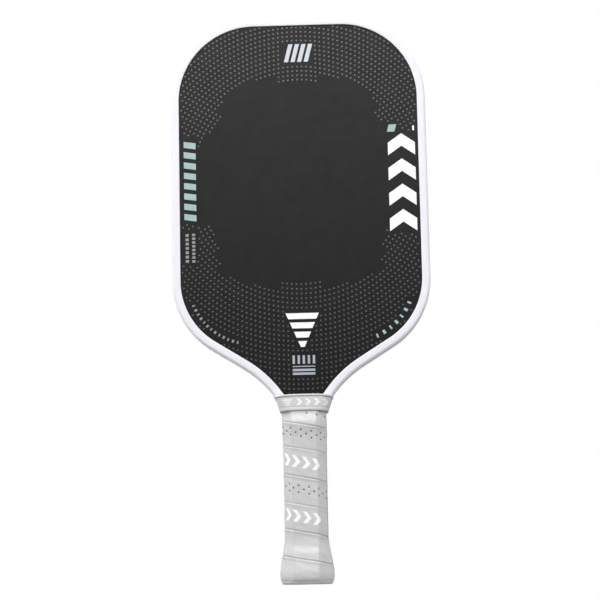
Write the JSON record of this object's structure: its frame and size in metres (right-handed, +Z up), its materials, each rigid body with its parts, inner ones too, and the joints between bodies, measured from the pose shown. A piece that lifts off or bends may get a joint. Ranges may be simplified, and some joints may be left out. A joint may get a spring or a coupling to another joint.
{
  "type": "pickleball paddle",
  "caption": "Paddle with a rounded-rectangle foam-core head, carbon faces, moulded edge guard, and a long octagonal wrapped handle with a flared butt.",
  "frame": {"origin": "centre of the butt's end face", "axes": "+Z up the handle to the head, +X across the head, -Y out of the front face"},
  "size_m": [0.189, 0.0352, 0.4191],
  "materials": {
    "carbon_face": "matte carbon fibre with a fine peel-ply grit and a printed dot field",
    "glass_ply": "resin-bonded glass fibre",
    "core_foam": "closed-cell foam",
    "rim_foam": "dense closed-cell foam",
    "tape": "thin adhesive tape",
    "guard": "satin moulded white",
    "pallet": "moulded structural foam",
    "cap": "satin light grey",
    "badge": "satin mid grey",
    "grip": "tacky perforated polyurethane wrap",
    "collar": "satin light grey rubber"
  },
  "bodies": {
    "root": {"front_carbon_face": "carbon_face", "back_carbon_face": "carbon_face", "front_inner_ply": "glass_ply", "back_inner_ply": "glass_ply", "foam_core": "core_foam", "perimeter_foam": "rim_foam", "edge_guard_tape": "tape", "edge_guard": "guard", "handle_pallet_front": "pallet", "handle_pallet_back": "pallet", "butt_cap": "cap", "butt_badge": "badge", "cushion_grip": "grip", "finishing_tape": "tape", "collar": "collar"}
  },
  "joints": []
}
